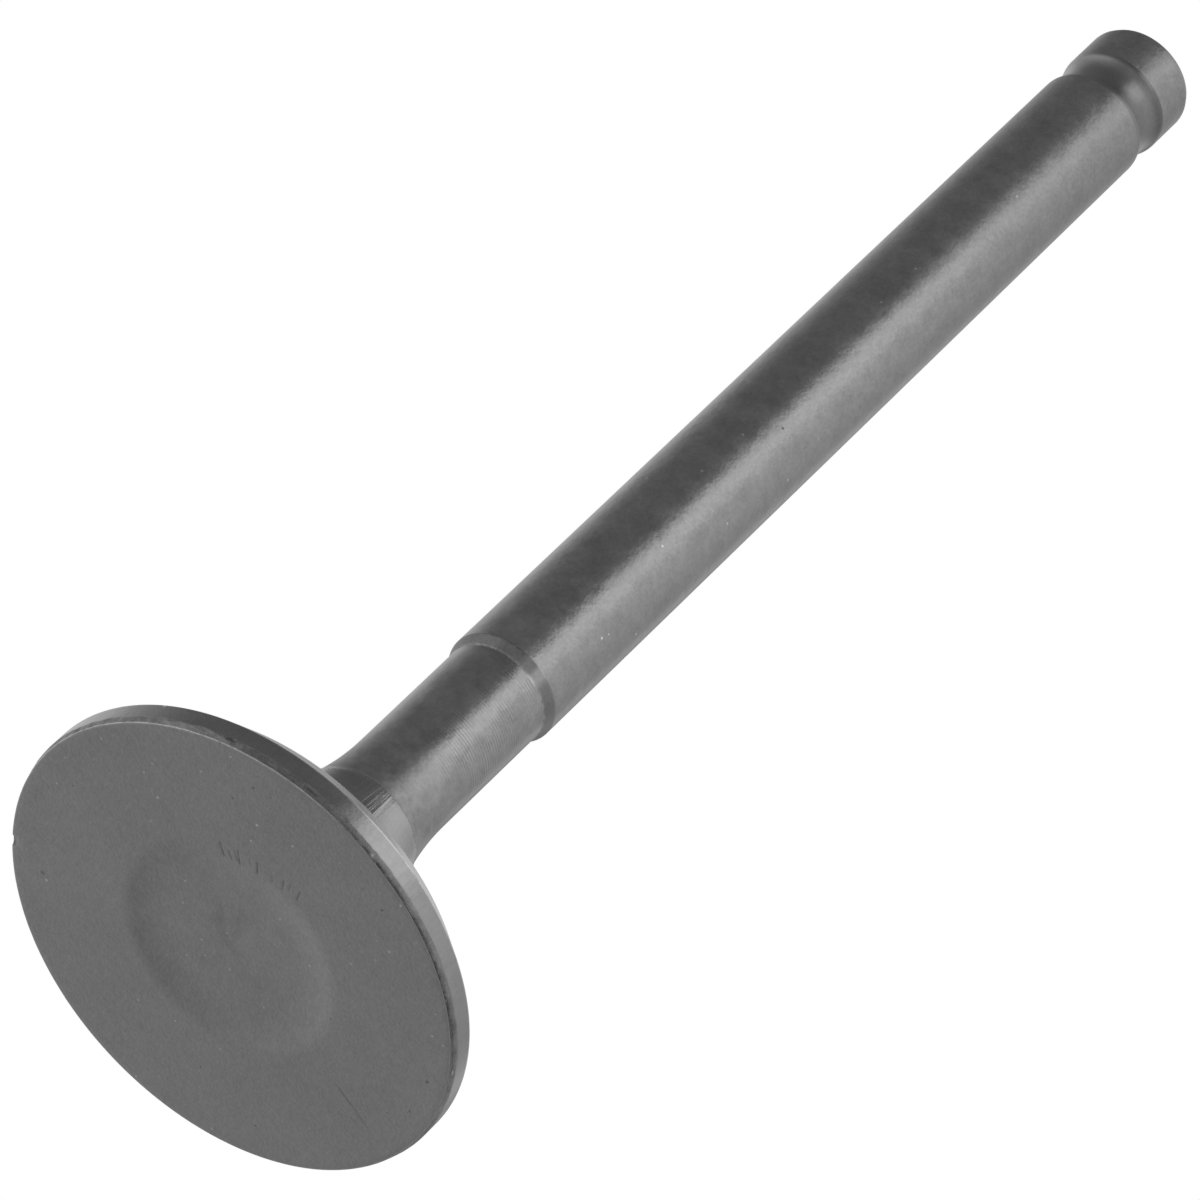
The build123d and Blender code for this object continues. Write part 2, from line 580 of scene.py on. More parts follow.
steel_bm.normal_update()
counts = dict.fromkeys(ALL_BANDS, 0)
for f in steel_bm.faces:
    f.smooth = True
    name = band_of(f)
    f.material_index = ALL_BANDS.index(name)
    counts[name] += 1
print("faces in each band", counts)


# %% Make the piece
def put_in_scene(name, data):
    """A new object that shows a mesh, lamp or camera."""
    thing = bpy.data.objects.new(name, data)
    bpy.context.scene.collection.objects.link(thing)
    return thing


valve_mesh = to_mesh(steel_bm, "valve_steel")
valve = put_in_scene("valve_steel", valve_mesh)
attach(valve, "root")
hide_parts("valve")
print("triangles", sum(len(p.vertices) - 2 for p in valve_mesh.polygons))

# %% [markdown]
# ## Small tools for node trees
# Node trees get long when every link is its own line, so short helpers keep them readable. One adds a node
# and plugs in its inputs. The others do arithmetic, stretch a value from one range to another, read noise,
# and start or place a node group.


# %% Node helpers
def add(tree, kind, inputs=None, **settings):
    """Add a node. Inputs are sockets to link or plain values to set, settings are the node's own fields."""
    node = tree.nodes.new(kind)
    for field, value in settings.items():
        setattr(node, field, value)
    for key, value in (inputs or {}).items():
        if isinstance(value, bpy.types.NodeSocket):
            tree.links.new(value, node.inputs[key])
        else:
            node.inputs[key].default_value = value
    return node


def calc(tree, operation, first, second=0.0):
    """One step of arithmetic on sockets or numbers."""
    return add(tree, "ShaderNodeMath", {0: first, 1: second}, operation=operation).outputs["Value"]


def product(tree, first, *others):
    """Masks multiplied together, so that the result is high only where all of them are."""
    for other in others:
        first = calc(tree, "MULTIPLY", first, other)
    return first


def total(tree, first, *others):
    """Values added together."""
    for other in others:
        first = calc(tree, "ADD", first, other)
    return first


def stretch(tree, value, low, high, start=0.0, end=1.0):
    """Carry value from low..high to start..end, flat outside."""
    inputs = {"Value": value, "From Min": low, "From Max": high, "To Min": start, "To Max": end}
    return add(tree, "ShaderNodeMapRange", inputs).outputs["Result"]


def vector(tree, operation, first, second=None):
    """One step of vector arithmetic. A length, a distance and a dot product come out as a number."""
    inputs = {0: first}
    if second is not None:
        inputs["Scale" if operation == "SCALE" else 1] = second
    outputs = add(tree, "ShaderNodeVectorMath", inputs, operation=operation).outputs
    return outputs["Value" if operation in ("LENGTH", "DISTANCE", "DOT_PRODUCT") else "Vector"]


def soft_noise(tree, spot, scale, detail, roughness):
    """Noise about 0.5 that is read at a spot."""
    inputs = {"Vector": spot, "Scale": scale, "Detail": detail, "Roughness": roughness}
    return add(tree, "ShaderNodeTexNoise", inputs).outputs["Fac"]


# %% Group helpers
FLOAT = "NodeSocketFloat"
VECTOR = "NodeSocketVector"


def start_group(name, numbers, results):
    """An empty node group with float inputs and their usual values, and float or vector outputs."""
    group = bpy.data.node_groups.new(name, "ShaderNodeTree")
    for label, usual in numbers.items():
        socket = group.interface.new_socket(name=label, in_out="INPUT", socket_type=FLOAT)
        socket.default_value = usual
    for label, kind in results.items():
        group.interface.new_socket(name=label, in_out="OUTPUT", socket_type=kind)
    return group, group.nodes.new("NodeGroupInput").outputs, group.nodes.new("NodeGroupOutput").inputs


def use_group(tree, group, **numbers):
    """Place a group in a tree with its own values, and give back its outputs."""
    inputs = {label.replace("_", " "): value for label, value in numbers.items()}
    return add(tree, "ShaderNodeGroup", inputs, node_tree=group).outputs


# %% [markdown]
# ## Shared effects
# The bands differ, but they share causes: the steel is mottled by heat, the grinder and the lathe leave
# lines, grit leaves specks, and edges wear bright. Each cause is one node group that is built once. Object
# coordinates run in metres on this piece, so the groups turn them into millimetres first.

# %% Lathe place
lathe_place, _, out = start_group(
    "lathe_place", {}, {"Spot": VECTOR, "Round": VECTOR, "Radius": FLOAT, "Height": FLOAT})
coords = add(lathe_place, "ShaderNodeTexCoord").outputs["Object"]
spot = vector(lathe_place, "SCALE", coords, 1 / MM)
flat = vector(lathe_place, "MULTIPLY", spot, (1, 1, 0))
parts = add(lathe_place, "ShaderNodeSeparateXYZ", {0: spot}).outputs
lathe_place.links.new(spot, out["Spot"])
lathe_place.links.new(vector(lathe_place, "NORMALIZE", flat), out["Round"])
lathe_place.links.new(vector(lathe_place, "LENGTH", flat), out["Radius"])
lathe_place.links.new(parts["Z"], out["Height"])
print("lathe_place gives", [s.name for s in lathe_place.interface.items_tree])

# %% Mottle
mottle, given, out = start_group("mottle", {"Patch": 4.0, "Grain": 0.25}, {"Clouds": FLOAT, "Grain": FLOAT})
spot = use_group(mottle, lathe_place)["Spot"]
for size, detail, result in (("Patch", 4.0, "Clouds"), ("Grain", 2.0, "Grain")):
    made = soft_noise(mottle, spot, calc(mottle, "DIVIDE", 1.0, given[size]), detail, 0.6)
    mottle.links.new(stretch(mottle, made, 0.25, 0.75, -1, 1), out[result])


# %% Tool lines
def round_and_up(tree, turned, count, up):
    """A spot for noise that changes count times round the axis, and by up along it."""
    along = add(tree, "ShaderNodeCombineXYZ", {"Z": up}).outputs[0]
    return vector(tree, "ADD", along, vector(tree, "SCALE", turned["Round"], count))


tool_lines, given, out = start_group("tool_lines", {"Pitch": 0.15, "Drift": 0.6}, {"Lines": FLOAT})
turned = use_group(tool_lines, lathe_place)
up = calc(tool_lines, "DIVIDE", turned["Height"], given["Pitch"])
spot = round_and_up(tool_lines, turned, given["Drift"], up)
made = soft_noise(tool_lines, spot, 1.0, 2.0, 0.5)
tool_lines.links.new(stretch(tool_lines, made, 0.3, 0.7, -1, 1), out["Lines"])

# %% Tool rings
tool_rings, given, out = start_group("tool_rings", {"Foot": 0.0, "Pitch": MARK_PITCH}, {"Rings": FLOAT})
turned = use_group(tool_rings, lathe_place)
above_foot = calc(tool_rings, "SUBTRACT", turned["Height"], given["Foot"])
phase = calc(tool_rings, "DIVIDE", above_foot, given["Pitch"])
wave = calc(tool_rings, "COSINE", calc(tool_rings, "MULTIPLY", phase, 2 * math.pi))
kept = stretch(tool_rings, soft_noise(tool_rings, turned["Spot"], 0.7, 4.0, 0.7), 0.42, 0.62)
tool_rings.links.new(product(tool_rings, wave, kept), out["Rings"])

# %% Streaks along the part
streaks, given, out = start_group("streaks", {"Count": 30.0, "Slide": 0.05}, {"Streaks": FLOAT})
turned = use_group(streaks, lathe_place)
up = calc(streaks, "MULTIPLY", turned["Height"], given["Slide"])
spot = round_and_up(streaks, turned, given["Count"], up)
made = soft_noise(streaks, spot, 1.0, 3.0, 0.6)
streaks.links.new(stretch(streaks, made, 0.3, 0.7, -1, 1), out["Streaks"])

# %% Specks
BRIGHT_SHARE = 0.7

specks, given, out = start_group(
    "specks", {"Spacing": 1.0, "Size": 0.1, "Share": 0.15}, {"Bright": FLOAT, "Dark": FLOAT})
spot = use_group(specks, lathe_place)["Spot"]
scale = calc(specks, "DIVIDE", 1.0, given["Spacing"])
cells = add(specks, "ShaderNodeTexVoronoi", {"Vector": spot, "Scale": scale}).outputs
far = calc(specks, "MULTIPLY", cells["Distance"], given["Spacing"])
dot = calc(specks, "SUBTRACT", 1.0, calc(specks, "DIVIDE", far, given["Size"]))
chance, shade, _ = add(specks, "ShaderNodeSeparateColor", {0: cells["Color"]}).outputs
kept = product(specks, stretch(specks, dot, 0, 0.5), calc(specks, "LESS_THAN", chance, given["Share"]))
light = calc(specks, "LESS_THAN", shade, BRIGHT_SHARE)
specks.links.new(product(specks, kept, light), out["Bright"])
specks.links.new(product(specks, kept, calc(specks, "SUBTRACT", 1.0, light)), out["Dark"])

# %% One nick at a place
nick, given, out = start_group("nick", {"X": 0.0, "Y": 0.0, "Z": 0.0, "Size": 0.1}, {"Nick": FLOAT})
spot = use_group(nick, lathe_place)["Spot"]
centre = add(nick, "ShaderNodeCombineXYZ", {axis: given[axis] for axis in "XYZ"}).outputs[0]
gap = calc(nick, "DIVIDE", vector(nick, "DISTANCE", spot, centre), given["Size"])
nick.links.new(stretch(nick, gap, 0.4, 1.0, 1, 0), out["Nick"])

# %% Worn edge
worn_edge, given, out = start_group(
    "worn_edge", {"Edge Radius": 16.0, "Edge Height": 0.0, "Width": 0.1, "Broken": 0.5}, {"Edge": FLOAT})
turned = use_group(worn_edge, lathe_place)
outward = calc(worn_edge, "SUBTRACT", turned["Radius"], given["Edge Radius"])
upward = calc(worn_edge, "SUBTRACT", turned["Height"], given["Edge Height"])
square = total(worn_edge, product(worn_edge, outward, outward), product(worn_edge, upward, upward))
gap = calc(worn_edge, "DIVIDE", calc(worn_edge, "SQRT", square), given["Width"])
line = stretch(worn_edge, gap, 0.5, 1.0, 1, 0)
made = soft_noise(worn_edge, turned["Spot"], 1.4, 4.0, 0.7)
broken = calc(worn_edge, "SUBTRACT", made, calc(worn_edge, "MULTIPLY", given["Broken"], 0.7))
worn_edge.links.new(product(worn_edge, line, stretch(worn_edge, broken, 0.1, 0.3)), out["Edge"])

# %% Scars
scars, given, out = start_group("scars", {}, {"Bared": FLOAT, "Dirt": FLOAT})
hit = add(scars, "ShaderNodeAttribute", attribute_name="scar").outputs["Fac"]
scars.links.new(stretch(scars, hit, 0.1, 0.8), out["Bared"])
scars.links.new(stretch(scars, hit, -0.1, -0.8), out["Dirt"])
print("groups", [group.name for group in bpy.data.node_groups])

# %% [markdown]
# ## A steel to start from
# Every band is the same alloy, so every material starts from one recipe: a plain metal whose colour,
# roughness and height are sums of the shared effects. Each band then adds what only it has, and the last
# step plugs the sums into the shader.


# %% Steel recipe
DARKEST = 0.02


class Steel:
    """A metal material whose tone, roughness and height grow by added effects."""

    def __init__(self, name, tone, roughness, patch, grain):
        self.material = bpy.data.materials.new(name)
        self.material.use_nodes = True
        self.tree = self.material.node_tree
        self.shader = self.tree.nodes["Principled BSDF"]
        self.shader.inputs["Metallic"].default_value = 1
        self.clouds, self.grain = self.use(mottle, Patch=patch, Grain=grain)
        self.tone, self.roughness, self.height = tone, roughness, 0.0

    def use(self, group, **numbers):
        """Place a node group with its own values, and give back its outputs."""
        return use_group(self.tree, group, **numbers)

    def position(self):
        """X to the right, Y to the back and Z up, in millimetres."""
        return add(self.tree, "ShaderNodeSeparateXYZ", {0: self.use(lathe_place)["Spot"]}).outputs

    def ramp(self, value, low, high, start=0.0, end=1.0):
        """A mask that goes from start at low to end at high."""
        return stretch(self.tree, value, low, high, start, end)

    def window(self, value, low, foot, shoulder, high):
        """A mask that rises from low to foot and falls from shoulder to high."""
        return self.meet(self.ramp(value, low, foot), self.ramp(value, shoulder, high, 1, 0))

    def meet(self, *masks):
        """A mask that is high only where all of these are."""
        return product(self.tree, *masks)

    def edge_line(self, radius, height, width, broken):
        """A broken line along an edge, at a radius and a height in millimetres."""
        line = self.use(worn_edge, Edge_Radius=radius, Edge_Height=height, Width=width, Broken=broken)
        return line["Edge"]

    def nick_at(self, spot, size):
        """A round mark at a point in millimetres."""
        return self.use(nick, X=spot.x, Y=spot.y, Z=spot.z, Size=size)["Nick"]

    def grow(self, value, mask, amount):
        """A value with so much more of it where the mask is high."""
        return calc(self.tree, "ADD", value, calc(self.tree, "MULTIPLY", mask, amount))

    def tint(self, mask, amount):
        """Lighten the steel where the mask is high, or darken it where amount is below zero."""
        self.tone = self.grow(self.tone, mask, amount)

    def roughen(self, mask, amount):
        """Roughen the steel where the mask is high, or polish it where amount is below zero."""
        self.roughness = self.grow(self.roughness, mask, amount)

    def raise_up(self, mask, microns):
        """Raise the surface where the mask is high, or press it in where microns are below zero."""
        self.height = self.grow(self.height, mask, microns)

    def weather(self, cloud_tone, grain_tone, dull=0.0, swell=0.0, pits=0.0):
        """Tint by the clouds and the grain, dull by the clouds, and raise the clouds and the grain."""
        self.tint(self.clouds, cloud_tone)
        self.tint(self.grain, grain_tone)
        if dull:
            self.roughen(self.clouds, dull)
        if swell:
            self.raise_up(self.clouds, swell)
        if pits:
            self.raise_up(self.grain, pits)

    def finish(self):
        """Add the scars, plug everything in, and put the material on the valve."""
        bared, dirt_and_shade = self.use(scars)
        self.tint(bared, 0.35)
        self.tint(dirt_and_shade, -0.14)
        self.roughen(dirt_and_shade, 0.2)
        lift = {"Height": self.height, "Distance": MICRON, "Strength": 1.0}
        bump = add(self.tree, "ShaderNodeBump", lift)
        tone = calc(self.tree, "MAXIMUM", self.tone, DARKEST)
        self.tree.links.new(tone, self.shader.inputs["Base Color"])
        self.tree.links.new(self.roughness, self.shader.inputs["Roughness"])
        self.tree.links.new(bump.outputs["Normal"], self.shader.inputs["Normal"])
        valve_mesh.materials.append(self.material)
        print(self.material.name, "has", len(self.tree.nodes), "nodes")


# %% [markdown]
# ## The face
# The face is left matt by blasting: an even pitted grain, faint clouds where it ran hot, and fine specks. A
# few nicks have a place of their own, and each is one use of the nick group.

# %% Blasted face
face = Steel("blasted_face", tone=0.3, roughness=0.48, patch=2.6, grain=0.26)
face.weather(0.018, 0.02, dull=0.05, pits=6.0)
broad = face.use(mottle, Patch=11.0, Grain=0.6)
face.tint(broad["Clouds"], 0.02)
face.tint(broad["Grain"], 0.018)
face_specks = face.use(specks, Spacing=0.8, Size=0.1, Share=0.16)
face.tint(face_specks["Bright"], 0.16)
face.tint(face_specks["Dark"], -0.12)
stain = face.nick_at(Vector((-0.6, -1.4, 0)), 2.6)
face.tint(face.meet(stain, face.ramp(face.clouds, -0.5, 0.6, 1, 0)), -0.03)

# %% Nicks on the face
# radius, angle, size, tone
FACE_NICKS = (
    (10.8, -61, 0.13, 0.2),
    (8.5, -70, 0.1, 0.1),
    (15.3, -32, 0.1, 0.2),
    (11.1, -22, 0.14, 0.2),
    (9.6, -23, 0.12, 0.2),
    (11.5, -9, 0.11, 0.2),
    (15.7, 19, 0.13, 0.2),
    (12.9, 31, 0.12, 0.2),
    (14.7, 55, 0.12, 0.16),
    (13.8, -25, 0.15, -0.12),
    (14.1, 19, 0.14, -0.12),
    (14.8, 70, 0.18, -0.12),
    (13.8, -126, 0.22, -0.1),
    (13.6, -128, 0.13, 0.2),
)
NICK_DEPTH = 12.0
for radius, angle, size, tone in FACE_NICKS:
    mask = face.nick_at(place(radius, angle) / MM, size)
    face.tint(mask, tone)
    face.raise_up(mask, -NICK_DEPTH)
face.tint(face.edge_line(face_r, 0, width=0.12, broken=0.3), 0.1)
face.finish()

# %% [markdown]
# ## The bevel
# The bevel is the most battered band, dark with burnt carbon. Its left side is painted lighter, a painted
# highlight broken up by clouds, and there the corner with the face is a thin painted highlight line. On the
# right a dark line of painted shade follows that corner instead, and the line fades as it leaves the front.

# %% Worn bevel
bevel = Steel("worn_bevel", tone=0.175, roughness=0.42, patch=1.1, grain=0.2)
bevel.weather(0.035, 0.025, dull=-0.06, pits=6.0)
across, back, up = bevel.position()
left_side = bevel.ramp(across, 2.0, -4.0)
right_side = bevel.ramp(across, -3.0, 2.0)
# Painted highlight: the left side is lightened, broken up by the clouds.
left_painted_highlight = bevel.meet(bevel.ramp(across, -4.0, -9.0), bevel.ramp(bevel.clouds, -0.4, 0.4))
bevel.tint(left_painted_highlight, 0.06)
uneven_up = bevel.grow(up, bevel.clouds, 0.12)
bevel.tint(bevel.meet(bevel.ramp(uneven_up, 0.1, 0.4), right_side), 0.08)
bevel.tint(bevel.use(specks, Spacing=0.9, Size=0.14, Share=0.35)["Bright"], 0.16)

# %% The corner of the bevel
# Painted highlight: a thin bright line along the corner with the face, on the left only.
corner_painted_highlight = bevel.edge_line(face_r, 0, width=0.09, broken=0.25)
bevel.tint(bevel.meet(corner_painted_highlight, left_side), 0.34)
# Painted shade: a dark line along the corner on the right, fading as it leaves the front.
corner_painted_shade = bevel.edge_line(face_r, 0.07, width=0.13, broken=0.4)
bevel.tint(bevel.meet(corner_painted_shade, right_side, bevel.ramp(back, -10.0, -3.0, 1, 0.1)), -0.085)
clean_corner = bevel.meet(bevel.ramp(up, 0.04, 0.14, 1, 0), right_side, bevel.ramp(back, -11.5, -8.0))
bevel.tint(clean_corner, 0.14)
bevel.finish()

# %% [markdown]
# ## The margin and the seat
# Both are ground, with fine lines round them. The margin is the smoother one, and small knocks show along
# its upper edge. The seat has met its port many times, which left it the palest band and matt. The corner
# between the two is rubbed bright.

# %% Ground margin
margin = Steel("ground_margin", tone=0.3, roughness=0.24, patch=2.2, grain=0.3)
margin.weather(0.02, 0.014, dull=0.04, swell=8.0, pits=1.0)
margin.raise_up(margin.use(tool_lines, Pitch=0.16, Drift=2.0)["Lines"], 1.0)
margin.tint(margin.use(streaks, Count=70.0, Slide=0.25)["Streaks"], 0.012)
margin.tint(margin.edge_line(HEAD_RADIUS, MARGIN_HEIGHT, width=0.1, broken=0.3), 0.18)
knocks = margin.use(specks, Spacing=1.0, Size=0.16, Share=0.4)["Bright"]
top_edge = margin.ramp(margin.use(lathe_place)["Height"], 1.35, 1.65)
margin.tint(margin.meet(knocks, top_edge), 0.3)
margin.finish()

# %% Ground seat
seat = Steel("ground_seat", tone=0.66, roughness=0.42, patch=1.8, grain=0.2)
seat.weather(0.03, 0.01, dull=0.05, pits=1.5)
seat.raise_up(seat.use(tool_lines, Pitch=0.1, Drift=2.0)["Lines"], 0.8)
seat.tint(seat.edge_line(HEAD_RADIUS, MARGIN_HEIGHT, width=0.14, broken=0.2), 0.12)
seat.finish()

# %% [markdown]
# ## The underside
# The forged skin was never cut. It is a little scaly, and streaked along the way that the gas flows. Where
# the neck's tool dragged on it, the streaks are broad and deep. Its right flank, on the lamp's side, is
# painted a little paler as a painted highlight, and its left is painted a little darker as shade.

# %% Forged underside
forged = Steel("forged_underside", tone=0.31, roughness=0.24, patch=3.0, grain=0.25)
forged.weather(0.025, 0.01, pits=3.5)
flow = forged.use(streaks, Count=26.0, Slide=0.08)["Streaks"]
forged.tint(flow, 0.015)
forged.roughen(flow, 0.04)
forged.raise_up(flow, 2.0)
across, back, _ = forged.position()
dragged = forged.meet(forged.window(across, -1.0, -0.75, 0.2, 0.7), forged.ramp(back, -2.0, -3.0))
drag = forged.meet(forged.use(streaks, Count=8.0, Slide=0.05)["Streaks"], dragged)
forged.tint(drag, 0.17)
forged.tint(dragged, 0.05)
forged.raise_up(drag, 22.0)
forged.tint(forged.edge_line(TULIP_TOP_RADIUS, ledge_z, width=0.14, broken=0.3), 0.04)
# Painted light: the right flank is lightened and the left flank darkened, as the light falls.
painted_light_flank = forged.window(across, 0.2, 1.2, 2.0, 3.2)
forged.tint(painted_light_flank, 0.05)
painted_shade_flank = forged.ramp(across, -1.2, -2.5)
forged.tint(painted_shade_flank, -0.04)
forged.finish()

# %% [markdown]
# ## The turned neck and its step
# The neck's marks are already in the mesh. Its material adds finer lines between them, and a light and dark
# tone that keeps step with the marks and is worn away in patches: painted highlight and shade, full on the
# right and weaker on the left. The step is rougher, because the tool's corner cut it in one pass, and its
# foot is a thin bright line. Its front is painted with a highlight stripe on the right and with shade on the
# left.

# %% Turned neck
neck = Steel("turned_neck", tone=0.3, roughness=0.29, patch=2.4, grain=0.2)
neck.weather(0.04, 0.022, dull=0.04, swell=12.0, pits=1.2)
small = neck.use(mottle, Patch=0.6, Grain=0.12)["Clouds"]
neck.tint(small, 0.022)
neck.raise_up(small, 2.0)
across, _, height = neck.position()
near_head = neck.ramp(height, 16.5, 20.0, 1, 0)
neck.tint(neck.meet(near_head, neck.clouds), 0.045)
neck.tint(near_head, -0.02)
neck.roughen(near_head, 0.11)
neck.raise_up(neck.use(tool_lines, Pitch=0.12, Drift=1.2)["Lines"], 1.5)
rings = neck.use(tool_rings, Foot=neck_foot, Pitch=turned_length / marks)["Rings"]
on_marks = neck.ramp(height, neck_foot - 0.6, neck_foot + 0.6)
# Painted highlight and shade: the rings' light and dark tone is full on the right and a quarter as strong on
# the left.
painted_ring_sheen = neck.meet(on_marks, neck.ramp(across, -1.2, 0.4, 0.25, 1))
neck.tint(neck.meet(rings, painted_ring_sheen), 0.065)
neck.tint(neck.edge_line(turned_radius, ledge_z + 0.1, width=0.16, broken=0.3), 0.06)
neck.tint(neck.use(specks, Spacing=0.9, Size=0.09, Share=0.1)["Bright"], 0.1)
neck.finish()

# %% Turned step
step = Steel("turned_step", tone=0.25, roughness=0.4, patch=1.6, grain=0.2)
step.weather(0.03, 0.02, pits=4.0)
across, back, _ = step.position()
in_front = step.ramp(back, -1.0, -2.0)
# Painted shade darkens the left of the step and a band in front, and a painted highlight stripe lightens the
# front on the right.
step.tint(step.ramp(across, -1.6, -2.6), -0.06)
step.tint(step.meet(step.window(across, -2.3, -1.7, -0.6, -0.1), in_front), -0.09)
step.tint(step.meet(step.window(across, 0.5, 0.8, 1.3, 1.7), in_front), 0.13)
step.tint(step.edge_line(NECK_RADIUS, neck_top, width=0.16, broken=0.4), 0.12)
step.finish()

# %% [markdown]
# ## The ground stem
# The stem runs in a guide, so it is ground and then polished by use. Its faults are soft: patches a
# millimetre or two wide where the polish differs, and a few pits and specks. Towards the tip it is painted a
# little darker, painted shade for the lamp's light falling off.

# %% Ground stem
shaft = Steel("ground_stem", tone=0.3, roughness=0.31, patch=1.5, grain=0.22)
shaft.weather(0.034, 0.03, dull=0.05, swell=16.0, pits=1.4)
small = shaft.use(mottle, Patch=0.55, Grain=0.12)["Clouds"]
shaft.tint(small, 0.022)
shaft.raise_up(small, 2.0)
stem_specks = shaft.use(specks, Spacing=1.1, Size=0.11, Share=0.13)
shaft.tint(stem_specks["Bright"], 0.3)
shaft.tint(stem_specks["Dark"], -0.08)
fine_specks = shaft.use(specks, Spacing=0.42, Size=0.08, Share=0.16)["Bright"]
shaft.tint(shaft.meet(fine_specks, shaft.ramp(shaft.clouds, -0.1, 0.5)), 0.13)
# Painted shade: towards the tip the steel is darkened, standing in for the lamp's light falling off; it is
# also rougher there.
toward_tip = shaft.ramp(shaft.use(lathe_place)["Height"], 65.0, 100.0)
shaft.tint(toward_tip, -0.022)
shaft.roughen(toward_tip, 0.08)

# %% Nicks on the stem
# height, angle, size, tone
STEM_NICKS = (
    (35.5, 31.5, 0.12, 0.4),
    (36.2, 33.5, 0.09, 0.3),
    (44, 8, 0.12, 0.25),
    (48.5, -54.5, 0.1, 0.25),
    (50, 36.5, 0.1, 0.25),
    (51, -17, 0.12, 0.3),
    (57, 50.5, 0.12, 0.3),
    (58.5, 6.5, 0.14, -0.2),
)
for height, angle, size, tone in STEM_NICKS:
    shaft.tint(shaft.nick_at(place(STEM_RADIUS, angle, height) / MM, size), tone)
shaft.finish()

# %% [markdown]
# ## The keeper groove
# Two small keepers sit in this round groove and hold the spring's cap. Its corners are painted darker as
# shade, most of all on the right, and the right side is painted a little darker and the left a little
# lighter.

# %% Rolled groove
groove = Steel("rolled_groove", tone=0.25, roughness=0.3, patch=1.8, grain=0.25)
groove.weather(0.02, 0.014, swell=6.0, pits=1.2)
across, _, height = groove.position()
# Painted shade in both corners, strongest on the right.
near_corner_shade = groove.window(height, groove_start, groove_mid - 0.9, groove_mid - 1.0, groove_mid + 0.2)
far_corner_shade = groove.ramp(height, groove_mid + 0.7, groove_mid + 1.4, 0, 0.7)
dirt_and_shade = total(groove.tree, near_corner_shade, far_corner_shade)
groove.tint(groove.meet(dirt_and_shade, groove.ramp(across, -2.0, -0.5)), -0.075)
# Painted shade on the right side and a painted highlight on the left.
groove.tint(groove.ramp(across, -0.6, 0.2), -0.028)
groove.tint(groove.ramp(across, -1.6, -2.6), 0.04)
groove.finish()

# %% [markdown]
# ## The floor
# The valve stands on its head, and the view is from below, so a plain floor would hide the face. This floor
# is a ring that stops just outside the face, and its underside is clear. From above it is a pale table with
# the valve's shadow, and it fades to the white of the background far away, so that no horizon shows.

# %% Floor ring
FLOOR_HOLE = HEAD_RADIUS - 0.04
FLOOR_DROP = 0.002
FLOOR_SPREAD = 120
FLOOR_SEGMENTS = 180

floor_bm = bmesh.new()
bmesh.ops.create_circle(floor_bm, cap_ends=False, radius=FLOOR_HOLE * MM, segments=FLOOR_SEGMENTS)
made = bmesh.ops.extrude_edge_only(floor_bm, edges=floor_bm.edges[:])
outer = [v for v in made["geom"] if isinstance(v, bmesh.types.BMVert)]
bmesh.ops.scale(floor_bm, vec=(FLOOR_SPREAD, FLOOR_SPREAD, 1), verts=outer)
bmesh.ops.translate(floor_bm, vec=(0, 0, -FLOOR_DROP * MM), verts=floor_bm.verts)
bmesh.ops.recalc_face_normals(floor_bm, faces=floor_bm.faces)
facing_down = [f for f in floor_bm.faces if f.normal.z < 0]
bmesh.ops.reverse_faces(floor_bm, faces=facing_down)
floor_mesh = to_mesh(floor_bm, "floor")
put_in_scene("floor", floor_mesh)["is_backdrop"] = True
print("floor ring from", FLOOR_HOLE, "to", round(FLOOR_HOLE * FLOOR_SPREAD), "mm")


# %% Floor paint
def seen_ray(tree):
    """1 for the camera, for reflections and through glass, and 0 for light that falls on matt surfaces."""
    ray = add(tree, "ShaderNodeLightPath").outputs
    seen = calc(tree, "MAXIMUM", ray["Is Camera Ray"], ray["Is Glossy Ray"])
    return calc(tree, "MAXIMUM", seen, ray["Is Transmission Ray"])


FADE_START = 120
FADE_END = 900
pale = bpy.data.materials.new("pale_floor")
pale.use_nodes = True
tree = pale.node_tree
paint = tree.nodes["Principled BSDF"]
paint.inputs["Base Color"].default_value = (0.8, 0.8, 0.8, 1)
paint.inputs["Roughness"].default_value = 0.9
clear = add(tree, "ShaderNodeBsdfTransparent")
under = add(tree, "ShaderNodeNewGeometry").outputs["Backfacing"]
away = vector(tree, "LENGTH", add(tree, "ShaderNodeTexCoord").outputs["Object"])
far = product(tree, stretch(tree, away, FADE_START * MM, FADE_END * MM), seen_ray(tree))
white = add(tree, "ShaderNodeEmission")
faded = add(tree, "ShaderNodeMixShader", {0: far, 1: paint.outputs[0], 2: white.outputs[0]})
both = add(tree, "ShaderNodeMixShader", {0: under, 1: faded.outputs[0], 2: clear.outputs[0]})
tree.links.new(both.outputs[0], tree.nodes["Material Output"].inputs["Surface"])
floor_mesh.materials.append(pale)
print("floor fades to white between", FADE_START, "and", FADE_END, "mm")

# %% [markdown]
# ## The background
# The background is white to the camera and in reflections. The light that reaches matt surfaces is kept a
# little lower, so that a pale floor doesn't clip.

# %% World
DIFFUSE_LEVEL = 0.82
world = bpy.data.worlds.new("white_room")
bpy.context.scene.world = world
world.use_nodes = True
room = world.node_tree
level = stretch(room, seen_ray(room), 0, 1, DIFFUSE_LEVEL, 1.0)
room.links.new(level, room.nodes["Background"].inputs["Strength"])
room.nodes["Background"].inputs["Color"].default_value = (1, 1, 1, 1)
print("world lights matt surfaces at", DIFFUSE_LEVEL)

# %% [markdown]
# ## The light tent
# Ground steel has almost no look of its own: it shows the room. Photographers stand such a part in a tent of
# white cloth, with a dark flag on one side so that the round shapes read. The tent here is a big sphere that
# only reflections can see. Its glow is worked out from the direction: pale all round, a dark flag on the
# left, brighter cloth near the lamp, and a greyer band at and below the table's height.

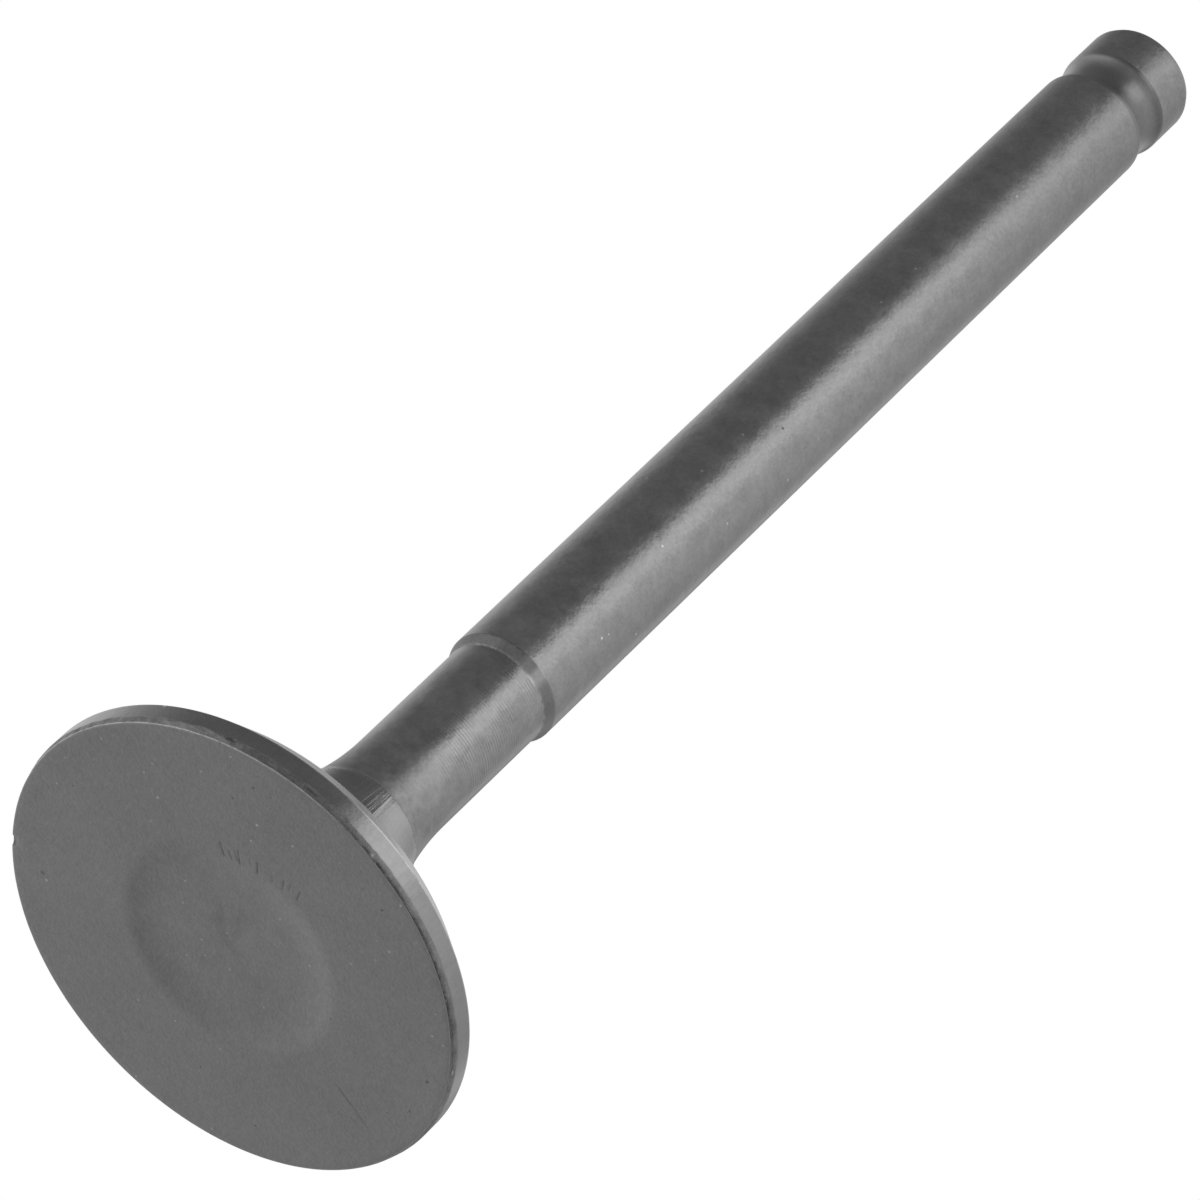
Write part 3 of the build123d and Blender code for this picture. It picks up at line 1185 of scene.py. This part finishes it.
# %% Tent
TENT_RADIUS = 3.0
tent_bm = bmesh.new()
bmesh.ops.create_uvsphere(tent_bm, u_segments=48, v_segments=24, radius=TENT_RADIUS)
tent_mesh = to_mesh(tent_bm, "light_tent")
tent = put_in_scene("light_tent", tent_mesh)
tent.visible_camera = False
tent.visible_diffuse = False
tent.visible_transmission = False
tent.visible_shadow = False
tent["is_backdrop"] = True
print("tent", TENT_RADIUS, "m in radius")

# %% Tent cloth
cloth = bpy.data.materials.new("tent_cloth")
cloth.use_nodes = True
cloth.cycles.emission_sampling = "NONE"
tree = cloth.node_tree
tree.nodes.remove(tree.nodes["Principled BSDF"])
look = vector(tree, "NORMALIZE", add(tree, "ShaderNodeTexCoord").outputs["Object"])
x, y, z = add(tree, "ShaderNodeSeparateXYZ", {0: look}).outputs
left = stretch(tree, x, -0.02, 0.02, 1, 0)
right = stretch(tree, x, -0.02, 0.05)

# %% The flag and the patches of cloth
BASE_GLOW = 0.6
FLAG_DARK = 0.385
FLAG_SLOPE = 1.35
LAMP_SIDE = (0.31, -0.67, 0.67)
CARD_SIDE = (0.53, -0.85, 0.0)

lean = calc(tree, "SUBTRACT", y, calc(tree, "MULTIPLY", z, FLAG_SLOPE))
front = stretch(tree, lean, -0.815, -0.294, 1, 0)
flag = product(tree, left, front, stretch(tree, z, 0.1, 0.55, 0.3, 1))
above = calc(tree, "SUBTRACT", BASE_GLOW, calc(tree, "MULTIPLY", flag, FLAG_DARK))
band = stretch(tree, z, 0.0, 0.35, -0.14, 0)
right_wall = stretch(tree, x, 0.3, 0.6, 0, -0.05)
low_left = product(tree, stretch(tree, x, -0.65, -0.95), stretch(tree, z, 0.2, 0.5, 0.42, 0))
back_left = product(tree, left, stretch(tree, y, 0.42, 0.6, 0, 0.18))
back_right = total(tree, stretch(tree, y, 0.45, 0.57, 0, 0.13), stretch(tree, y, 0.62, 0.72, 0, -0.36))
halo = stretch(tree, vector(tree, "DOT_PRODUCT", look, LAMP_SIDE), 0.45, 0.98, 0, 0.36)
top = stretch(tree, z, 0.86, 0.97, 0, 0.12)
low_right = stretch(tree, z, 0.0, 0.22, -0.1, 0)
right_half = product(tree, right, total(tree, back_right, halo, top, low_right))
card = stretch(tree, vector(tree, "DOT_PRODUCT", look, CARD_SIDE), 0.94, 0.99, 0, 0.22)
above = total(tree, above, band, right_wall, low_left, back_left, right_half, card)

# %% Below the table
below = total(
    tree,
    stretch(tree, x, -0.4, 0.0, 0.3, 0),
    stretch(tree, x, 0.0, 0.4, 0, -0.1),
    stretch(tree, y, 0.4, 1.0, 0.33, 0.59),
    stretch(tree, y, 0.8, 1.0, 0, 0.1),
)
over = stretch(tree, z, -0.05, 0.02)
level = add(tree, "ShaderNodeMix", {"Factor": over, "A": below, "B": above}, data_type="FLOAT")
shine = add(tree, "ShaderNodeEmission", {"Strength": level.outputs["Result"]})
tree.links.new(shine.outputs[0], tree.nodes["Material Output"].inputs["Surface"])
tent_mesh.materials.append(cloth)
print("tent cloth has", len(tree.nodes), "nodes")

# %% [markdown]
# ## The soft box
# One large soft lamp makes the bright stripe down the stem. Its left edge is near the middle of the view, so
# the stripe starts sharply there and fades to the right.

# %% Soft box
LAMP_ANGLE = 14
LAMP_HEIGHT_ANGLE = 40
LAMP_AIM = Vector((0, 0, 0.05))
LAMP_WIDTH = 0.55
LAMP_TALL = 0.7
LAMP_GLOW = 0.42
lamp_data = bpy.data.lights.new("soft_box", "AREA")
lamp_data.shape = "RECTANGLE"
lamp_data.size = LAMP_WIDTH
lamp_data.size_y = LAMP_TALL
lamp_data.energy = LAMP_GLOW * math.pi * LAMP_WIDTH * LAMP_TALL
lamp = put_in_scene("soft_box", lamp_data)
side, up = math.radians(LAMP_ANGLE), math.radians(LAMP_HEIGHT_ANGLE)
toward = Vector((math.sin(side) * math.cos(up), -math.cos(side) * math.cos(up), math.sin(up)))
lamp.location = toward + LAMP_AIM
lamp.visible_camera = False
lamp.rotation_mode = "QUATERNION"
lamp.rotation_quaternion = (-toward).to_track_quat("-Z", "Y")
print("soft box at", [round(v, 2) for v in lamp.location])

# %% [markdown]
# ## The camera
# A long lens from below and in front looks up at the valve, and a roll lays the stem along the diagonal.

# %% Camera
CAMERA_PLACE = Vector((0, -0.38467, -0.29404))
CAMERA_AIM = Vector((0.000285, 0, 0.04054))
CAMERA_ROLL = math.radians(46.224)
camera_data = bpy.data.cameras.new("camera")
camera_data.lens = 241.6
camera_data.sensor_width = 36
camera_data.clip_start = 0.01
camera_data.clip_end = 20
camera = put_in_scene("camera", camera_data)
camera.location = CAMERA_PLACE
camera.rotation_mode = "QUATERNION"
facing = (CAMERA_AIM - CAMERA_PLACE).to_track_quat("-Z", "Y")
camera.rotation_quaternion = facing @ Quaternion(AXIS, CAMERA_ROLL)
bpy.context.scene.camera = camera
bpy.context.scene.view_settings.view_transform = "Standard"
print("camera", round(CAMERA_PLACE.length, 3), "m away")

# %% [markdown]
# ## Print the size
# The looks must not change the part's size, so the box of the finished scene is written beside the box that
# was loaded.

# %% Sizes and finish
bpy.context.view_layer.update()
show_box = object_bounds()
for title, box in (("cad", cad_box), ("visual", show_box)):
    print(title, "box in mm", [[round(v / MM, 3) for v in corner] for corner in box])
